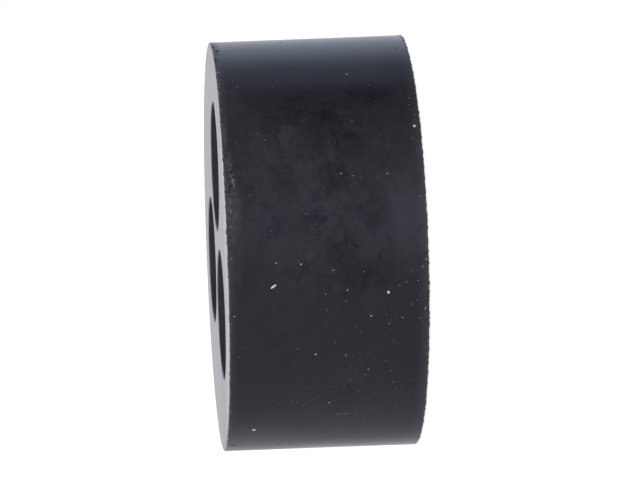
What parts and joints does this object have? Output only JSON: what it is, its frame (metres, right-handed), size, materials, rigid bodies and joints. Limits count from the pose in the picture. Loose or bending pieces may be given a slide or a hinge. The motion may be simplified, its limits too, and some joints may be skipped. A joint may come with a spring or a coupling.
{
  "type": "cable gland sealing insert",
  "caption": "Round black rubber insert that seals several cables in one cable gland, with equal round holes through it from end to end.",
  "frame": {"origin": "centre of the lower end face, on the axis of the disc", "axes": "+Z along the axis of the disc and of its holes, from the lower end face to the upper one; +X from the axis to the middle of the first hole"},
  "size_m": [0.0254, 0.0254, 0.0119],
  "materials": {
    "black_rubber": "moulded, matt, with a faint bloom and a little dust"
  },
  "bodies": {
    "root": {"sealing_insert": "black_rubber"}
  },
  "joints": []
}
